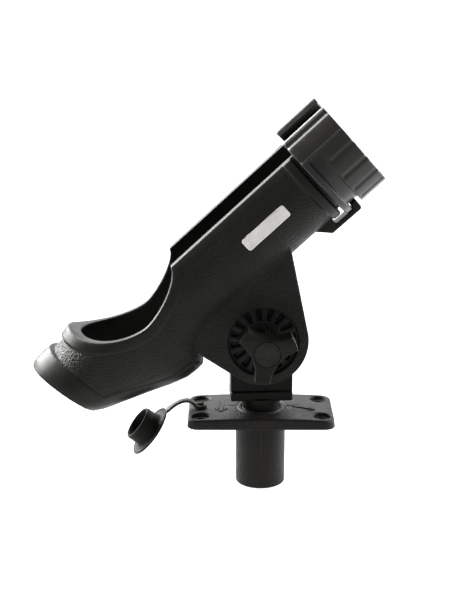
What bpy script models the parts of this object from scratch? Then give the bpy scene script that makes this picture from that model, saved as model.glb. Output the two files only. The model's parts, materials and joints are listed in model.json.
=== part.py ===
"""Rod holder on a flush deck mount: open-topped tube, turning lock ring, tilting knuckle, socket plate, cap.

Metres, +Z up.  The origin is the centre of the plate's underside, on the socket's axis.  The raised
front end points along +X.  The holder is built in its own frame at the tilt pivot: its X runs forward
along the tube, its Z away from the knuckle, and that frame is then swung and tilted into place.
"""
import math

import bmesh
import bpy
from mathutils import Matrix, Vector

for stale in list(bpy.data.objects):
    bpy.data.objects.remove(stale, do_unlink=True)

MM = 0.001

# Deck plate and socket
PLATE_LENGTH = 101.6 * MM
PLATE_WIDTH = 53.4 * MM
PLATE_MID = 7.8 * MM
PLATE_END = 6.2 * MM
PLATE_CORNER = 7.0 * MM
PLATE_FLARE = 0.5 * MM
SCREW_X = 42.1 * MM
SCREW_Y = 16.9 * MM
SCREW_HOLE_R = 3.0 * MM
SCREW_HEAD_R = 6.2 * MM
SCREW_SEAT_Z = 4.2 * MM
TETHER_X = -42.4 * MM
TETHER_HOLE_R = 2.0 * MM
TETHER_RELIEF_R = 3.6 * MM
TETHER_RELIEF_Z = 3.0 * MM
SOCKET_TOP_R = 17.5 * MM
SOCKET_END_R = 17.4 * MM
SOCKET_DEPTH = 48.2 * MM
SOCKET_BORE_R = 13.8 * MM
SOCKET_RIM_R = 16.1 * MM
SOCKET_RIM_Z = 8.4 * MM

# Post and tongue
YAW = math.radians(3.35)
POST_R = 13.4 * MM
POST_END_Z = -44.0 * MM
BLOCK_Z = 15.4 * MM
LIP_Z = 22.0 * MM
LIP_HALF = 11.2 * MM
TONGUE_HALF_X = 21.6 * MM
TONGUE_HALF_Y = 9.1 * MM
PIVOT_Z = 61.6 * MM
BOLT_R = 4.0 * MM
BOLT_HOLE_R = 4.3 * MM

# Holder frame
TILT = math.radians(42.4)
AXIS_U = 63.5 * MM
TUBE_R = 34.3 * MM
BORE_R = 29.5 * MM
RAIL_U = AXIS_U + 20.0 * MM
SCOOP_START = -9.0 * MM
SCOOP_LOW = -48.5 * MM
SCOOP_LOW_U = 65.0 * MM
SCOOP_END = -91.0 * MM
SCOOP_END_U = 94.0 * MM
SCOOP_POWER = 1.55
COLLAR_R = 36.4 * MM
COLLAR_REAR = 91.0 * MM
COLLAR_FRONT = 97.3 * MM
NECK_R = 32.2 * MM
NECK_END = 134.6 * MM

# Knuckle
CHEEK_OUT = 21.5 * MM
CHEEK_IN = 9.5 * MM
LOBE_R = 31.1 * MM
GAP_TOP = 27.0 * MM
GAP_REAR = -35.0 * MM
RECESS_R = 24.5 * MM
RECESS_FLOOR = 16.5 * MM
SLOT_COUNT = 16
SLOT_FROM = 14.5 * MM
SLOT_TO = 21.8 * MM
SLOT_WIDTH = 3.4 * MM
SLOT_FLOOR = 12.6 * MM
HEX_R = 7.5 * MM
HEX_POCKET_R = 7.9 * MM
HEX_SEAT = 15.5 * MM

# Lock ring and hook
RING_R = 39.1 * MM
RING_BORE_R = 32.5 * MM
RING_REAR = 99.9 * MM
RING_FRONT = 135.3 * MM
TRACK_R = 34.6 * MM
TRACK_REAR = 104.8 * MM
TRACK_FRONT = 113.4 * MM
TRACK_FROM = math.radians(17.5)
TRACK_TO = math.radians(-111.5)
RING_GAP = math.radians(36.3)
FLUTE_COUNT = 18
FLUTE_START = math.radians(3.5)
FLUTE_R = 1.3 * MM
HOOK_HALF = 6.5 * MM

# Knob
KNOB_HUB_R = 10.6 * MM
KNOB_REAR = 18.8 * MM
KNOB_NECK = 34.0 * MM
KNOB_FACE = 48.8 * MM
KNOB_TIP_R = 20.6 * MM
KNOB_TIP_HALF = math.radians(14.5)
KNOB_WAIST_R = 10.2 * MM
KNOB_TURN = math.radians(21.0)
INSERT_R = 6.3 * MM
INSERT_END = 32.0 * MM
WASHER_R = 9.5 * MM

# Badge
BADGE_LENGTH = 36.4 * MM
BADGE_HEIGHT = 9.2 * MM
BADGE_CORNER = 1.8 * MM
BADGE_S = 55.6 * MM
BADGE_U = -2.1 * MM
BADGE_FACE = 34.9 * MM
BADGE_BACK = 33.4 * MM

# Cap and strap
CAP_CENTRE = Vector((-78.0 * MM, 0.0, -11.3 * MM))
CAP_AXIS = Vector((-0.785, -0.10, 0.615)).normalized()
CAP_FLANGE_R = 19.2 * MM
CAP_PLUG_R = 12.6 * MM
CAP_MOUTH_R = 12.0 * MM
CAP_WALL = 2.2 * MM
CAP_DEPTH = 12.0 * MM
STRAP_HALF = 4.0 * MM
STRAP_THICK = 2.0 * MM

CLEAR = 0.3 * MM
OVERCUT = 1.0 * MM
SEGMENTS = 48


def new_collection(name):
    collection = bpy.data.collections.new(name)
    bpy.context.scene.collection.children.link(collection)
    return collection


PARTS = new_collection("rod_holder")
CUTTERS = new_collection("rod_holder_cutters")


def finish(name, colour, roughness, metallic=0.0):
    material = bpy.data.materials.new(name)
    material.use_nodes = True
    shader = material.node_tree.nodes["Principled BSDF"]
    shader.inputs["Base Color"].default_value = (*colour, 1.0)
    shader.inputs["Roughness"].default_value = roughness
    shader.inputs["Metallic"].default_value = metallic
    return material


def frame(name, location, rotation):
    empty = bpy.data.objects.new(name, None)
    empty.location = location
    empty.rotation_euler = rotation
    PARTS.objects.link(empty)
    return empty


def place(obj, material=None, parent=None, cutter=False):
    home = CUTTERS if cutter else PARTS
    home.objects.link(obj)
    if cutter:
        obj.hide_render = True
        obj.display_type = "WIRE"
    if material:
        obj.data.materials.clear()
        obj.data.materials.append(material)
    if parent:
        obj.parent = parent
    return obj


def from_bmesh(name, bm):
    mesh = bpy.data.meshes.new(name)
    bmesh.ops.recalc_face_normals(bm, faces=bm.faces)
    bm.to_mesh(mesh)
    bm.free()
    return bpy.data.objects.new(name, mesh)


TO_AXIS = {
    "X": Matrix(((0, 0, 1), (1, 0, 0), (0, 1, 0))).to_4x4(),
    "Y": Matrix(((1, 0, 0), (0, 0, -1), (0, 1, 0))).to_4x4(),
    "Z": Matrix.Identity(4),
}


def prism(name, outline, low, high, axis, bevel=0.0, rounds=1):
    """Extrude a closed outline between two stations on an axis, its end edges rounded by the bevel."""
    curve = bpy.data.curves.new(name + "_outline", "CURVE")
    curve.dimensions = "2D"
    curve.fill_mode = "BOTH"
    curve.extrude = (high - low) / 2 - bevel
    curve.bevel_depth = bevel
    curve.bevel_resolution = rounds - 1
    curve.offset = -bevel
    spline = curve.splines.new("POLY")
    spline.points.add(len(outline) - 1)
    for point, (across, up) in zip(spline.points, outline):
        point.co = (across, up, 0.0, 1.0)
    spline.use_cyclic_u = True
    drawn = bpy.data.objects.new(name + "_drawn", curve)
    bpy.context.scene.collection.objects.link(drawn)
    graph = bpy.context.evaluated_depsgraph_get()
    mesh = bpy.data.meshes.new_from_object(drawn.evaluated_get(graph))
    bpy.data.objects.remove(drawn, do_unlink=True)
    bm = bmesh.new()
    bm.from_mesh(mesh)
    bpy.data.meshes.remove(mesh)
    bmesh.ops.remove_doubles(bm, verts=bm.verts, dist=1e-6)
    middle = (low + high) / 2 * (-1 if axis == "Y" else 1)
    bm.transform(TO_AXIS[axis] @ Matrix.Translation((0.0, 0.0, middle)))
    return from_bmesh(name, bm)


def cylinder(name, radius, low, high, axis, centre=(0.0, 0.0), segments=SEGMENTS, turn=0.0):
    """A plain cylinder between two stations; the centre is given across the axis as the prism's outline is."""
    bm = bmesh.new()
    bmesh.ops.create_cone(
        bm, cap_ends=True, segments=segments, radius1=radius, radius2=radius, depth=high - low
    )
    middle = (low + high) / 2 * (-1 if axis == "Y" else 1)
    shift = Matrix.Translation((centre[0], centre[1], middle))
    bm.transform(TO_AXIS[axis] @ shift @ Matrix.Rotation(turn, 4, "Z"))
    return from_bmesh(name, bm)


def turned(name, profile, closed=False, segments=SEGMENTS):
    """Spin a profile of (radius, height) points about Z; it runs down the outer side, top to bottom."""
    mesh = bpy.data.meshes.new(name)
    edges = [(index, index + 1) for index in range(len(profile) - 1)]
    if closed:
        edges.append((len(profile) - 1, 0))
    mesh.from_pydata([(radius, 0.0, height) for radius, height in profile], edges, [])
    obj = bpy.data.objects.new(name, mesh)
    screw = obj.modifiers.new("turn", "SCREW")
    screw.steps = segments
    screw.render_steps = segments
    screw.use_merge_vertices = True
    screw.merge_threshold = 1e-6
    return obj


def loft(name, rings):
    """Skin equal rings of points in order and close both ends."""
    bm = bmesh.new()
    rows = [[bm.verts.new(point) for point in ring] for ring in rings]
    for before, after in zip(rows, rows[1:]):
        for index in range(len(before)):
            step = (index + 1) % len(before)
            bm.faces.new((before[index], before[step], after[step], after[index]))
    bm.faces.new(rows[0][::-1])
    bm.faces.new(rows[-1])
    return from_bmesh(name, bm)


def join(name, objects):
    """Several separate closed solids as one cutter."""
    bm = bmesh.new()
    for obj in objects:
        bm.from_mesh(obj.data)
        bpy.data.objects.remove(obj, do_unlink=True)
    return from_bmesh(name, bm)


def boolean(obj, operation, other):
    modifier = obj.modifiers.new(other.name, "BOOLEAN")
    modifier.operation = operation
    modifier.solver = "EXACT"
    modifier.object = other


def cut(obj, other, parent=None):
    boolean(obj, "DIFFERENCE", place(other, parent=parent, cutter=True))


def fuse(obj, other, parent=None):
    boolean(obj, "UNION", place(other, parent=parent, cutter=True))


def arc(centre, radius, start, end, count):
    """Points along an arc, both ends included."""
    points = []
    for index in range(count + 1):
        angle = start + (end - start) * index / count
        points.append((centre[0] + radius * math.cos(angle), centre[1] + radius * math.sin(angle)))
    return points


def rounded_rectangle(length, width, corner, count=4):
    points = []
    quarter = math.pi / 2
    for turn, (side_x, side_y) in enumerate(((1, 1), (-1, 1), (-1, -1), (1, -1))):
        centre = (side_x * (length / 2 - corner), side_y * (width / 2 - corner))
        points += arc(centre, corner, turn * quarter, (turn + 1) * quarter, count)
    return points


def arc_through(first, middle, last, count):
    """Points from first to last on the circle that also passes through middle."""
    ax, ay = first
    bx, by = middle
    cx, cy = last
    d = 2 * (ax * (by - cy) + bx * (cy - ay) + cx * (ay - by))
    aa = ax * ax + ay * ay
    bb = bx * bx + by * by
    cc = cx * cx + cy * cy
    centre = (
        (aa * (by - cy) + bb * (cy - ay) + cc * (ay - by)) / d,
        (aa * (cx - bx) + bb * (ax - cx) + cc * (bx - ax)) / d,
    )
    radius = math.hypot(ax - centre[0], ay - centre[1])
    start = math.atan2(ay - centre[1], ax - centre[0])
    sweep = math.atan2(cy - centre[1], cx - centre[0]) - start
    sweep = (sweep + math.pi) % (2 * math.pi) - math.pi
    return arc(centre, radius, start, start + sweep, count)


moulded_black = finish("moulded_black", (0.022, 0.023, 0.022), 0.45)
ring_black = finish("ring_black", (0.030, 0.028, 0.027), 0.38)
plate_black = finish("plate_black", (0.035, 0.031, 0.029), 0.5)
post_black = finish("post_black", (0.018, 0.018, 0.018), 0.5)
knob_black = finish("knob_black", (0.030, 0.031, 0.031), 0.42)
badge_silver = finish("badge_silver", (0.62, 0.60, 0.58), 0.35, 1.0)
bolt_steel = finish("bolt_steel", (0.55, 0.55, 0.56), 0.3, 1.0)
washer_steel = finish("washer_steel", (0.60, 0.60, 0.60), 0.35, 1.0)
insert_brass = finish("insert_brass", (0.70, 0.52, 0.22), 0.35, 1.0)
cap_rubber = finish("cap_rubber", (0.030, 0.028, 0.026), 0.65)
strap_rubber = finish("strap_rubber", (0.045, 0.042, 0.040), 0.6)
button_rubber = finish("button_rubber", (0.028, 0.026, 0.025), 0.65)

holder_frame = frame("holder_frame", (0.0, 0.0, PIVOT_Z), (0.0, -TILT, YAW))
knob_frame = frame("knob_frame", (0.0, 0.0, PIVOT_Z), (0.0, 0.0, YAW))


# Deck plate: crowned along its length, rounded in plan, one moulding with the socket tube below it
def build_deck_mount():
    half = PLATE_LENGTH / 2
    rise = PLATE_MID - PLATE_END
    crown_r = (half * half + rise * rise) / (2 * rise)
    spread = math.asin(half / crown_r)
    top = arc((0.0, PLATE_MID - crown_r), crown_r, math.pi / 2 - spread, math.pi / 2 + spread, 12)
    side = [(half + PLATE_FLARE, 0.0)] + top + [(-half - PLATE_FLARE, 0.0)]
    plate = prism("deck_mount", side, -PLATE_WIDTH, PLATE_WIDTH, "Y")
    place(plate, plate_black)
    plan = rounded_rectangle(PLATE_LENGTH + 2 * PLATE_FLARE, PLATE_WIDTH, PLATE_CORNER)
    outline = prism("plate_plan", plan, -OVERCUT, PLATE_MID + OVERCUT, "Z")
    boolean(plate, "INTERSECT", place(outline, cutter=True))
    tube = turned(
        "socket_tube",
        [
            (0.0, SOCKET_RIM_Z),
            (SOCKET_RIM_R - 1.0 * MM, SOCKET_RIM_Z),
            (SOCKET_RIM_R, PLATE_MID - 0.6 * MM),
            (SOCKET_TOP_R, PLATE_END - 3.0 * MM),
            (SOCKET_TOP_R, -1.0 * MM),
            (SOCKET_END_R, -SOCKET_DEPTH + 1.5 * MM),
            (SOCKET_END_R - 1.5 * MM, -SOCKET_DEPTH),
            (0.0, -SOCKET_DEPTH),
        ],
    )
    fuse(plate, tube)
    cut(plate, cylinder("socket_bore", SOCKET_BORE_R, -SOCKET_DEPTH - OVERCUT, PLATE_MID + 2 * OVERCUT, "Z"))
    for side_x in (-1, 1):
        for side_y in (-1, 1):
            centre = (side_x * SCREW_X, side_y * SCREW_Y)
            stem = (SCREW_HOLE_R, -OVERCUT, SCREW_SEAT_Z + OVERCUT, "Z", centre, 20)
            head = (SCREW_HEAD_R, SCREW_SEAT_Z, PLATE_MID + OVERCUT, "Z", centre, 28)
            cut(plate, cylinder("screw_hole", *stem))
            cut(plate, cylinder("screw_seat", *head))
    cut(plate, cylinder("tether_hole", TETHER_HOLE_R, -OVERCUT, PLATE_MID + OVERCUT, "Z", (TETHER_X, 0.0), 20))
    cut(plate, cylinder("tether_relief", TETHER_RELIEF_R, -OVERCUT, TETHER_RELIEF_Z, "Z", (TETHER_X, 0.0), 24))
    return plate


# Swivel post: round shaft in the socket, square block, tongue that fills the knuckle
def build_swivel_post():
    dome = arc((0.0, PIVOT_Z), TONGUE_HALF_X, 0.0, math.pi, 20)
    outline = dome + [(-TONGUE_HALF_X, BLOCK_Z), (TONGUE_HALF_X, BLOCK_Z)]
    post = prism("swivel_post", outline, -TONGUE_HALF_Y, TONGUE_HALF_Y, "Y", 0.6 * MM)
    place(post, post_black)
    post.rotation_euler = (0.0, 0.0, YAW)
    lip_plan = rounded_rectangle(2 * TONGUE_HALF_X, 2 * LIP_HALF, 1.0 * MM, 2)
    fuse(post, prism("block_lip", lip_plan, BLOCK_Z, LIP_Z, "Z", 0.5 * MM), post)
    shaft = turned(
        "post_shaft",
        [
            (0.0, BLOCK_Z + OVERCUT),
            (POST_R, BLOCK_Z + OVERCUT),
            (POST_R, POST_END_Z + 1.2 * MM),
            (POST_R - 1.2 * MM, POST_END_Z),
            (0.0, POST_END_Z),
        ],
    )
    fuse(post, shaft, post)
    reach = TONGUE_HALF_Y + OVERCUT
    cut(post, cylinder("tongue_hole", BOLT_HOLE_R, -reach, reach, "Y", (0.0, PIVOT_Z), 28), post)
    return post


def section(station, half, top, depth, shear, bow, count=SEGMENTS):
    """One ring of the holder's skin: half ellipses above and below the tube's axis, leaned and bowed forward."""
    ring = []
    for index in range(count):
        angle = 2 * math.pi * index / count
        across = half * math.cos(angle)
        up = (top if angle < math.pi else depth) * math.sin(angle)
        along = station - shear * up + bow * math.cos(angle) ** 2
        ring.append((along, across, AXIS_U + up))
    return ring


# Stations of the cradle's skin, from the open rear end to the plain tube, in millimetres:
# (along the tube, half width, height over the axis, depth under the axis)
SKIN = (
    (-124.2, 30.5, 27.6, 22.7),
    (-122.6, 31.9, 29.8, 25.8),
    (-108.2, 32.8, 30.2, 32.0),
    (-107.2, 31.7, 27.2, 32.2),
    (-101.8, 31.7, 27.2, 34.4),
    (-100.8, 31.9, 30.6, 34.8),
    (-88.0, 32.4, 31.0, 39.6),
    (-72.0, 33.4, 32.6, 45.8),
    (-57.0, 34.2, 34.0, 50.4),
    (-50.0, 34.3, 34.3, 51.0),
    (-43.0, 34.3, 34.3, 50.4),
    (-36.0, 34.3, 34.3, 43.0),
    (-28.0, 34.3, 34.3, 36.6),
    (-18.0, 34.3, 34.3, 34.3),
    (92.0, 34.3, 34.3, 34.3),
)
HOLLOW = (
    (-140.0, 27.4, 24.6, 18.4),
    (-124.0, 27.4, 24.4, 19.6),
    (-107.0, 27.6, 22.8, 27.6),
    (-88.0, 27.8, 22.8, 35.0),
    (-70.0, 29.0, 26.0, 41.4),
    (-58.0, 29.5, 29.5, 45.4),
    (-51.0, 29.5, 29.5, 46.2),
    (-44.0, 29.5, 29.5, 40.6),
    (-36.0, 29.5, 29.5, 31.6),
    (-26.0, 29.5, 29.5, 29.5),
    (140.0, 29.5, 29.5, 29.5),
)
REAR_LEAN = 0.2
REAR_BOW = 3.0 * MM
REAR_FADES_FROM = -124.0
REAR_FADES_TO = -66.0


def skin_rings(stations):
    rings = []
    for along, half, top, depth in stations:
        fade = min(1.0, max(0.0, (REAR_FADES_TO - along) / (REAR_FADES_TO - REAR_FADES_FROM)))
        rings.append(
            section(along * MM, half * MM, top * MM, depth * MM, REAR_LEAN * fade, REAR_BOW * fade * fade)
        )
    return rings


def scoop_outline():
    """Side view of everything taken off the top: the slot over the tube and the scoop behind it."""
    points = [(NECK_END + 10 * MM, RAIL_U), (SCOOP_START, RAIL_U)]
    count = 14
    for start, start_u in ((SCOOP_START, RAIL_U), (SCOOP_END, SCOOP_END_U)):
        side = []
        for index in range(1, count + 1):
            angle = math.pi / 2 * index / count
            along = math.cos(angle) ** (2 / SCOOP_POWER)
            down = math.sin(angle) ** (2 / SCOOP_POWER)
            s = SCOOP_LOW + (start - SCOOP_LOW) * along
            side.append((s, start_u + (SCOOP_LOW_U - start_u) * down))
        points += side if start > SCOOP_LOW else side[-2::-1]
    points.append((SCOOP_END, SCOOP_END_U))
    points.append((SCOOP_END - 3 * MM, AXIS_U + 45 * MM))
    points.append((NECK_END + 10 * MM, AXIS_U + 45 * MM))
    return points


def knuckle_outline():
    """Side view of the cheeks: a round lobe whose tangents run up into the tube."""
    right = math.radians(-31.4)
    left = math.radians(195.0)
    lobe = arc((0.0, 0.0), LOBE_R, left, right + 2 * math.pi, 28)
    return [(-39.0 * MM, 44.0 * MM), (-37.2 * MM, 20.5 * MM)] + lobe + [(56.6 * MM, 34.6 * MM), (60.0 * MM, 44.0 * MM)]


def hook_outline():
    under = AXIS_U - TUBE_R
    return [
        (74.5 * MM, under + 2.5 * MM),
        (76.5 * MM, under - 0.4 * MM),
        (84.0 * MM, 20.8 * MM),
        (109.2 * MM, 20.4 * MM),
        (110.4 * MM, 21.6 * MM),
        (110.4 * MM, AXIS_U - TRACK_R - 0.6 * MM),
        (105.6 * MM, AXIS_U - TRACK_R - 0.6 * MM),
        (105.6 * MM, 24.2 * MM),
        (89.6 * MM, 24.2 * MM),
        (89.6 * MM, under + 2.5 * MM),
    ]


# Holder body: cradle, tube, collar, ring neck, hook and both knuckle cheeks in one moulding
def build_holder_body():
    body = loft("holder_body", skin_rings(SKIN))
    place(body, moulded_black, holder_frame)
    centre = (0.0, AXIS_U)
    fuse(body, cylinder("collar", COLLAR_R, COLLAR_REAR, COLLAR_FRONT, "X", centre), holder_frame)
    fuse(body, cylinder("ring_neck", NECK_R, COLLAR_REAR + OVERCUT, NECK_END, "X", centre), holder_frame)
    fuse(body, prism("knuckle", knuckle_outline(), -CHEEK_OUT, CHEEK_OUT, "Y", 0.8 * MM), holder_frame)
    fuse(body, prism("hook", hook_outline(), -HOOK_HALF, HOOK_HALF, "Y", 0.5 * MM), holder_frame)
    cut(body, loft("hollow", skin_rings(HOLLOW)), holder_frame)
    cut(body, prism("scoop", scoop_outline(), -60 * MM, 60 * MM, "Y"), holder_frame)
    gap = [
        (GAP_REAR, GAP_TOP),
        (GAP_REAR, 18.0 * MM),
        (GAP_REAR - 20 * MM, -LOBE_R - 10 * MM),
        (70.0 * MM, -LOBE_R - 10 * MM),
        (70.0 * MM, GAP_TOP),
    ]
    cut(body, prism("tongue_gap", gap, -CHEEK_IN, CHEEK_IN, "Y"), holder_frame)
    cut(body, cylinder("knob_recess", RECESS_R, -30 * MM, -RECESS_FLOOR, "Y"), holder_frame)
    reach = CHEEK_OUT + OVERCUT
    cut(body, cylinder("cheek_hole", BOLT_HOLE_R, -reach, reach, "Y", segments=28), holder_frame)
    cut(body, cylinder("hex_pocket", HEX_POCKET_R, HEX_SEAT, 30 * MM, "Y", segments=6), holder_frame)
    slots = []
    for index in range(SLOT_COUNT):
        turn = 2 * math.pi * (index + 0.5) / SLOT_COUNT
        corners = []
        for radius, side in ((SLOT_FROM, -0.5), (SLOT_TO, -0.72), (SLOT_TO, 0.72), (SLOT_FROM, 0.5)):
            point = Matrix.Rotation(turn, 2) @ Vector((radius, side * SLOT_WIDTH))
            corners.append((point.x, point.y))
        slots.append(prism("slot", corners, -RECESS_FLOOR - OVERCUT, -SLOT_FLOOR, "Y"))
    cut(body, join("detent_slots", slots), holder_frame)
    pocket = rounded_rectangle(BADGE_LENGTH + 2 * CLEAR, BADGE_HEIGHT + 2 * CLEAR, BADGE_CORNER)
    pocket = [(s + BADGE_S, u + AXIS_U + BADGE_U) for s, u in pocket]
    cut(body, prism("badge_pocket", pocket, -50 * MM, -BADGE_BACK + CLEAR, "Y"), holder_frame)
    return body


def ring_angle(angle):
    """Ring angles are measured up from the near side; the outline's own angle runs from +Y."""
    return math.pi - angle


# Lock ring: turned, split by the gap, with the hook's track sunk part of the way round
def build_locking_ring():
    half = (RING_FRONT - RING_REAR) / 2
    edge = 1.0 * MM
    ring = turned(
        "locking_ring",
        [
            (RING_R - edge, half),
            (RING_R, half - edge),
            (RING_R, -half + edge),
            (RING_R - edge, -half),
            (RING_BORE_R, -half),
            (RING_BORE_R, half),
        ],
        closed=True,
        segments=72,
    )
    place(ring, ring_black, holder_frame)
    middle = (RING_FRONT + RING_REAR) / 2
    ring.location = (middle, 0.0, AXIS_U)
    ring.rotation_euler = (0.0, math.pi / 2, 0.0)
    axis_frame = frame("ring_axis", (0.0, 0.0, AXIS_U), (0.0, 0.0, 0.0))
    axis_frame.parent = holder_frame
    reach = 60 * MM
    wedge = [
        (0.0, 0.0),
        (reach * math.sin(RING_GAP), reach * math.cos(RING_GAP)),
        (-reach * math.sin(RING_GAP), reach * math.cos(RING_GAP)),
    ]
    cut(ring, prism("ring_gap", wedge, RING_REAR - OVERCUT, RING_FRONT + OVERCUT, "X"), axis_frame)
    start = ring_angle(TRACK_FROM)
    end = ring_angle(TRACK_TO)
    sector = arc((0.0, 0.0), TRACK_R, start, end, 26) + arc((0.0, 0.0), RING_R + 4 * MM, end, start, 26)
    cut(ring, prism("ring_track", sector, TRACK_REAR, TRACK_FRONT, "X"), axis_frame)
    grooves = []
    for index in range(FLUTE_COUNT):
        angle = FLUTE_START + 2 * math.pi * index / FLUTE_COUNT
        wrapped = (angle + math.pi / 2) % (2 * math.pi) - math.pi / 2
        if abs(wrapped - math.pi / 2) < RING_GAP + math.radians(6):
            continue
        behind = wrapped < TRACK_FROM or wrapped > 2 * math.pi + TRACK_TO
        rear = TRACK_FRONT - 0.5 * MM if behind else RING_REAR - OVERCUT
        radius = RING_R + 0.4 * MM
        centre = (radius * math.cos(ring_angle(angle)), radius * math.sin(ring_angle(angle)))
        grooves.append(cylinder("groove", FLUTE_R, rear, RING_FRONT + OVERCUT, "X", centre, 8))
    cut(ring, join("ring_flutes", grooves), axis_frame)
    return ring


def build_badge():
    outline = rounded_rectangle(BADGE_LENGTH, BADGE_HEIGHT, BADGE_CORNER)
    badge = prism("badge_plate", outline, -BADGE_FACE, -BADGE_BACK, "Y", 0.25 * MM)
    place(badge, badge_silver, holder_frame)
    badge.location = (BADGE_S, 0.0, AXIS_U + BADGE_U)
    return badge


def knob_outline():
    points = []
    for lobe in range(3):
        angle = KNOB_TURN + lobe * 2 * math.pi / 3
        tip = arc((0.0, 0.0), KNOB_TIP_R, angle - KNOB_TIP_HALF, angle + KNOB_TIP_HALF, 4)
        onward = angle + 2 * math.pi / 3
        waist = (KNOB_WAIST_R * math.cos(angle + math.pi / 3), KNOB_WAIST_R * math.sin(angle + math.pi / 3))
        reach = (KNOB_TIP_R * math.cos(onward - KNOB_TIP_HALF), KNOB_TIP_R * math.sin(onward - KNOB_TIP_HALF))
        points += tip + arc_through(tip[-1], waist, reach, 12)[1:-1]
    return points


# Knob, its brass insert and washer, and the bolt they clamp on
def build_clamp():
    knob = prism("clamp_knob", knob_outline(), -KNOB_FACE, -KNOB_NECK, "Y", 1.2 * MM, 2)
    place(knob, knob_black, knob_frame)
    fuse(knob, cylinder("knob_hub", KNOB_HUB_R, -KNOB_NECK - 3 * MM, -KNOB_REAR, "Y", segments=36), knob_frame)
    cut(knob, cylinder("insert_bore", INSERT_R + CLEAR, -INSERT_END - CLEAR, 0.0, "Y", segments=32), knob_frame)
    cut(knob, cylinder("bolt_room", BOLT_HOLE_R, -42.0 * MM, 0.0, "Y", segments=28), knob_frame)
    insert = cylinder("knob_insert", INSERT_R, -INSERT_END, -KNOB_REAR - CLEAR, "Y", segments=32)
    place(insert, insert_brass, knob_frame)
    cut(insert, cylinder("insert_thread", BOLT_HOLE_R, -40 * MM, 0.0, "Y", segments=28), knob_frame)
    washer = cylinder("clamp_washer", WASHER_R, -KNOB_REAR + CLEAR, -RECESS_FLOOR - CLEAR, "Y", segments=36)
    place(washer, washer_steel, knob_frame)
    cut(washer, cylinder("washer_hole", BOLT_HOLE_R + 0.2 * MM, -25 * MM, 0.0, "Y", segments=28), knob_frame)
    bolt = cylinder("tilt_bolt", BOLT_R, -40.0 * MM, HEX_SEAT + 2 * MM, "Y", segments=28)
    place(bolt, bolt_steel, holder_frame)
    head = cylinder("bolt_head", HEX_R, HEX_SEAT + CLEAR, CHEEK_OUT - CLEAR, "Y", segments=6)
    fuse(bolt, head, holder_frame)


def strap_line():
    """Centre line of the strap in side view, from the button to the cap's flange."""
    start = Vector((TETHER_X - 3.4 * MM, 8.1 * MM))
    rise = Vector((-52.0 * MM, 17.4 * MM))
    end = Vector((-66.4 * MM, 4.8 * MM))
    points = []
    for index in range(13):
        t = index / 12
        points.append(start * (1 - t) ** 2 + rise * 2 * t * (1 - t) + end * t * t)
    return [Vector((TETHER_X + 3.2 * MM, 8.1 * MM))] + points


def build_tether():
    line = strap_line()
    upper = []
    lower = []
    for index, point in enumerate(line):
        before = line[max(0, index - 1)]
        after = line[min(len(line) - 1, index + 1)]
        along = (after - before).normalized()
        normal = Vector((-along.y, along.x)) * STRAP_THICK / 2
        upper.append(tuple(point - normal))
        lower.append(tuple(point + normal))
    strap = prism("cap_strap", upper + lower[::-1], -STRAP_HALF, STRAP_HALF, "Y", 0.3 * MM)
    place(strap, strap_rubber)
    cut(strap, cylinder("strap_hole", 2.0 * MM, 0.0, 20 * MM, "Z", (TETHER_X, 0.0), 20))
    button = turned(
        "cap_button",
        [
            (0.0, 10.7 * MM),
            (1.4 * MM, 10.6 * MM),
            (2.6 * MM, 10.1 * MM),
            (2.7 * MM, 9.5 * MM),
            (1.6 * MM, 9.4 * MM),
            (1.6 * MM, 2.7 * MM),
            (2.9 * MM, 2.5 * MM),
            (2.4 * MM, 0.6 * MM),
            (0.0, 0.4 * MM),
        ],
        segments=24,
    )
    place(button, button_rubber)
    button.location = (TETHER_X, 0.0, 0.0)


# Cap: hollow plug open at its mouth, thin round flange, domed back
def build_cap():
    cap = turned(
        "cap_plug",
        [
            (CAP_MOUTH_R - 1.4 * MM, CAP_DEPTH),
            (CAP_MOUTH_R - 0.4 * MM, CAP_DEPTH),
            (CAP_MOUTH_R + 0.2 * MM, CAP_DEPTH - 1.0 * MM),
            (CAP_PLUG_R, 1.2 * MM),
            (CAP_FLANGE_R - 0.6 * MM, 1.2 * MM),
            (CAP_FLANGE_R, 0.6 * MM),
            (CAP_FLANGE_R, -0.6 * MM),
            (CAP_FLANGE_R - 0.8 * MM, -1.4 * MM),
            (CAP_PLUG_R - 2 * MM, -2.6 * MM),
            (0.0, -3.0 * MM),
            (0.0, -0.8 * MM),
            (CAP_PLUG_R - CAP_WALL - 1.0 * MM, -0.6 * MM),
            (CAP_PLUG_R - CAP_WALL, 1.0 * MM),
        ],
        closed=True,
    )
    place(cap, cap_rubber)
    cap.location = CAP_CENTRE
    cap.rotation_mode = "QUATERNION"
    cap.rotation_quaternion = CAP_AXIS.to_track_quat("Z", "Y")
    return cap


build_deck_mount()
build_swivel_post()
build_holder_body()
build_locking_ring()
build_badge()
build_clamp()
build_tether()
build_cap()
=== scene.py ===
"""Looks for the rod holder: camera, light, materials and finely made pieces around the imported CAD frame.

Pieces are modelled in millimetres in the frame that suits them and set into the row frame at the end.
The holder's frame sits at the tilt pivot: X forward along the tube, Y to the far side, Z away from the
knuckle.  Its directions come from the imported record's joints.
"""
import json
import math

import bmesh
import bpy
import numpy as np
from mathutils import Matrix, Vector


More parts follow.
